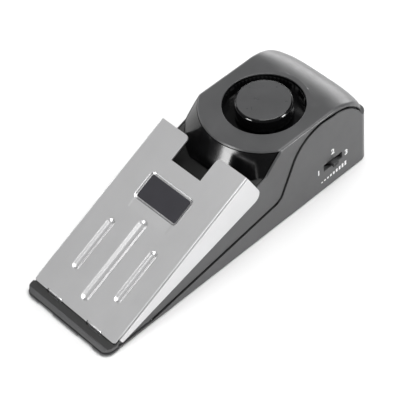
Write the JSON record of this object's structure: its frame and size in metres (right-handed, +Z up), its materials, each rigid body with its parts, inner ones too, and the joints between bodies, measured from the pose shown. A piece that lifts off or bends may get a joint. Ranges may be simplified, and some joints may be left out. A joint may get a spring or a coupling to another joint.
{
  "type": "door stop alarm",
  "caption": "Floor wedge that stops a door and sounds an alarm when the door presses its hinged steel plate, with a round siren and a sensitivity slider.",
  "frame": {"origin": "on the floor under the middle of the body, on the face of the grip pad", "axes": "+Y from the thin tip towards the thick end with the siren, +Z up from the floor, +X towards the side with the sensitivity slider"},
  "size_m": [0.0496, 0.145, 0.042],
  "materials": {
    "case_grey": "satin moulded ABS",
    "cap_grey": "polished ABS in the colour of the case",
    "pad_rubber": "matt moulded rubber",
    "zinc_steel": "zinc plated",
    "plate_steel": "satin sheet steel",
    "name_plate_violet": "smooth printed film, left bare",
    "black_plastic": "moulded",
    "spring_steel": "drawn spring wire",
    "gloss_black": "polished",
    "seal_rubber": "soft ring",
    "disc_brass": "rolled sheet",
    "ceramic_white": "fired ceramic with a silvered face",
    "battery_sleeve": "painted steel jacket, no print",
    "cushion_foam": "closed cell foam",
    "board_green": "solder mask over glass cloth",
    "button_white": "moulded",
    "winding_copper": "enamelled wire",
    "capacitor_sleeve": "shrink sleeve",
    "resistor_tan": "lacquered",
    "sensor_brass": "plated can",
    "knob_black": "ridged",
    "lead_red": "insulation",
    "lead_black": "insulation"
  },
  "bodies": {
    "housing": {"lower_case": "case_grey", "upper_case": "case_grey", "siren_deck": "gloss_black", "grip_pad": "pad_rubber", "rear_foot_left": "pad_rubber", "rear_foot_right": "pad_rubber", "case_screw_1": "zinc_steel", "case_screw_2": "zinc_steel", "case_screw_3": "zinc_steel", "case_screw_4": "zinc_steel", "return_spring_left": "spring_steel", "return_spring_right": "spring_steel", "siren_cap": "cap_grey", "siren_seal": "seal_rubber", "siren_disc": "disc_brass", "siren_ceramic": "ceramic_white", "sound_chamber": "black_plastic", "chamber_screw_1": "zinc_steel", "chamber_screw_2": "zinc_steel", "battery": "battery_sleeve", "battery_terminal_plus": "zinc_steel", "battery_terminal_minus": "zinc_steel", "battery_snap": "black_plastic", "battery_cushion": "cushion_foam", "main_board": "board_green", "board_screw_1": "zinc_steel", "board_screw_2": "zinc_steel", "trigger_switch": "black_plastic", "control_chip": "black_plastic", "step_up_coil": "black_plastic", "coil_winding": "winding_copper", "driver_transistor": "black_plastic", "capacitor_1": "capacitor_sleeve", "capacitor_2": "capacitor_sleeve", "resistor_1": "resistor_tan", "resistor_2": "resistor_tan", "resistor_3": "resistor_tan", "vibration_sensor": "sensor_brass", "sensitivity_board": "board_green", "sensitivity_switch": "zinc_steel", "power_switch": "zinc_steel", "siren_lead_signal": "lead_red", "siren_lead_return": "lead_black", "battery_lead_red": "lead_red", "battery_lead_black": "lead_black", "power_lead_in": "lead_red", "power_lead_out": "lead_black"},
    "plate": {"pressure_plate": "plate_steel", "name_plate": "name_plate_violet", "trigger_pusher": "black_plastic", "spring_seat_left": "black_plastic", "spring_seat_right": "black_plastic"},
    "button": {"trigger_button": "button_white"},
    "door": {"battery_door": "case_grey"},
    "sensitivity": {"sensitivity_slider": "knob_black"},
    "power": {"power_slider": "knob_black"}
  },
  "joints": [
    {"name": "plate_hinge", "type": "hinge", "parent": "housing", "child": "plate", "pos_m": [0, -0.0673, 0.0034], "axis": [-1, 0, 0], "range_deg": [0, 4], "stiffness_Nm_per_rad": 1.3, "springref_deg": -3.44, "deforming": ["return_spring_left", "return_spring_right"]},
    {"name": "trigger_slide", "type": "slide", "parent": "housing", "child": "button", "axis": [0, 0, -1], "range_m": [0, 0.00261]},
    {"name": "door_slide", "type": "slide", "parent": "housing", "child": "door", "axis": [0, 1, 0], "range_m": [0, 0.05]},
    {"name": "sensitivity_slide", "type": "slide", "parent": "housing", "child": "sensitivity", "axis": [0, 1, 0], "range_m": [-0.003, 0.003]},
    {"name": "power_slide", "type": "slide", "parent": "housing", "child": "power", "axis": [1, 0, 0], "range_m": [0, 0.004]}
  ],
  "couplings": [
    {"joint": "trigger_slide", "follows": "plate_hinge", "m_per_rad": 0.037304}
  ]
}
